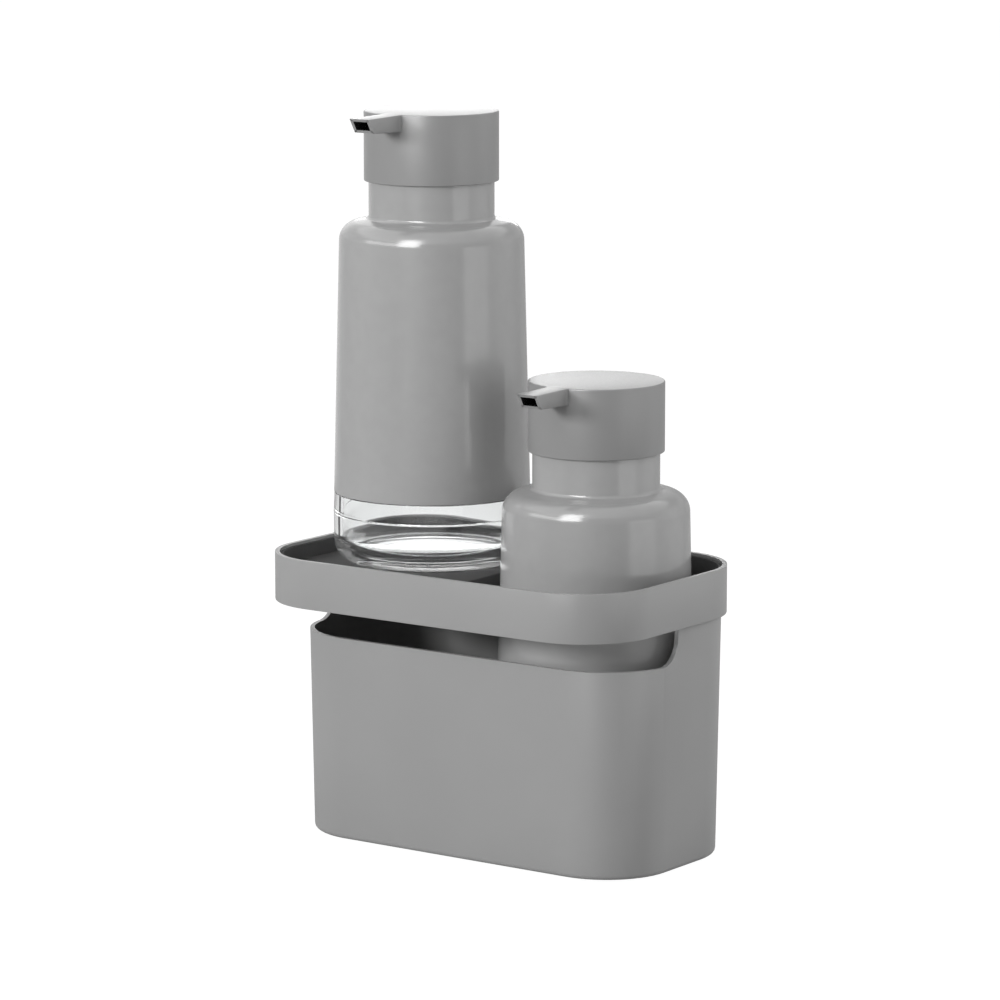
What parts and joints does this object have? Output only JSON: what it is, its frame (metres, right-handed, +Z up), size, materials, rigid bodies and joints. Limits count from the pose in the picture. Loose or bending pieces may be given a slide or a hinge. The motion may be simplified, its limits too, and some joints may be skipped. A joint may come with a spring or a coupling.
{
  "type": "sink organizer",
  "caption": "Sink organizer: a deep bin with an overhanging cloth rail, a drop-in shelf tray and pump dispensers in grip sleeves, one on the shelf and one standing deep in the bin.",
  "frame": {"origin": "under the centre of the rail's outline, on the surface that the foot pads stand on", "axes": "+X along the bin from the shelf to the lower dispenser, -Y to the front where the rail overhangs and the spouts point, +Z up"},
  "size_m": [0.1452, 0.0892, 0.244],
  "materials": {
    "bin_plastic": "satin moulded",
    "tray_plastic": "matte moulded",
    "pad_rubber": "matte",
    "clear_glass": "clear, polished",
    "sleeve_silicone": "glossy",
    "head_plastic": "satin",
    "pump_plastic": "natural",
    "tube_plastic": "translucent",
    "seal_rubber": "matte",
    "steel": "bright wire"
  },
  "bodies": {
    "caddy": {"outer_bin": "bin_plastic", "foot_pads": "pad_rubber"},
    "tray": {"inner_tray": "tray_plastic"},
    "left_dispenser": {"left_bottle": "clear_glass", "left_sleeve": "sleeve_silicone"},
    "left_pump": {"left_stopper": "pump_plastic", "left_seal_ring": "seal_rubber", "left_barrel": "pump_plastic", "left_gland": "pump_plastic", "left_check_ball": "steel", "left_dip_tube": "tube_plastic", "left_spring": "steel"},
    "left_plunger": {"left_piston": "seal_rubber", "left_stem": "pump_plastic"},
    "left_pump_head": {"left_head": "head_plastic"},
    "right_dispenser": {"right_bottle": "clear_glass", "right_sleeve": "sleeve_silicone"},
    "right_pump": {"right_stopper": "pump_plastic", "right_seal_ring": "seal_rubber", "right_barrel": "pump_plastic", "right_gland": "pump_plastic", "right_check_ball": "steel", "right_dip_tube": "tube_plastic", "right_spring": "steel"},
    "right_plunger": {"right_piston": "seal_rubber", "right_stem": "pump_plastic"},
    "right_pump_head": {"right_head": "head_plastic"}
  },
  "joints": [
    {"name": "tray_lift", "type": "slide", "parent": "caddy", "child": "tray", "axis": [0, 0, 1], "range_m": [0, 0.11]},
    {"name": "left_dispenser_lift", "type": "slide", "parent": "tray", "child": "left_dispenser", "axis": [0, 0, 1], "range_m": [0, 0.02]},
    {"name": "left_pump_lift", "type": "slide", "parent": "left_dispenser", "child": "left_pump", "axis": [0, 0, 1], "range_m": [0, 0.11]},
    {"name": "left_press", "type": "slide", "parent": "left_pump", "child": "left_plunger", "axis": [0, 0, -1], "range_m": [0, 0.009], "stiffness_N_per_m": 400, "springref_m": -0.006, "deforming": ["left_spring"]},
    {"name": "left_swivel", "type": "hinge", "parent": "left_plunger", "child": "left_pump_head", "pos_m": [-0.0334, 0.00785, 0.2207], "axis": [0, 0, 1], "continuous": true},
    {"name": "right_dispenser_lift", "type": "slide", "parent": "caddy", "child": "right_dispenser", "axis": [0, 0, 1], "range_m": [0, 0.094]},
    {"name": "right_pump_lift", "type": "slide", "parent": "right_dispenser", "child": "right_pump", "axis": [0, 0, 1], "range_m": [0, 0.11]},
    {"name": "right_press", "type": "slide", "parent": "right_pump", "child": "right_plunger", "axis": [0, 0, -1], "range_m": [0, 0.009], "stiffness_N_per_m": 400, "springref_m": -0.006, "deforming": ["right_spring"]},
    {"name": "right_swivel", "type": "hinge", "parent": "right_plunger", "child": "right_pump_head", "pos_m": [0.0334, 0.00785, 0.1358], "axis": [0, 0, 1], "range_deg": [-50, 230]}
  ]
}
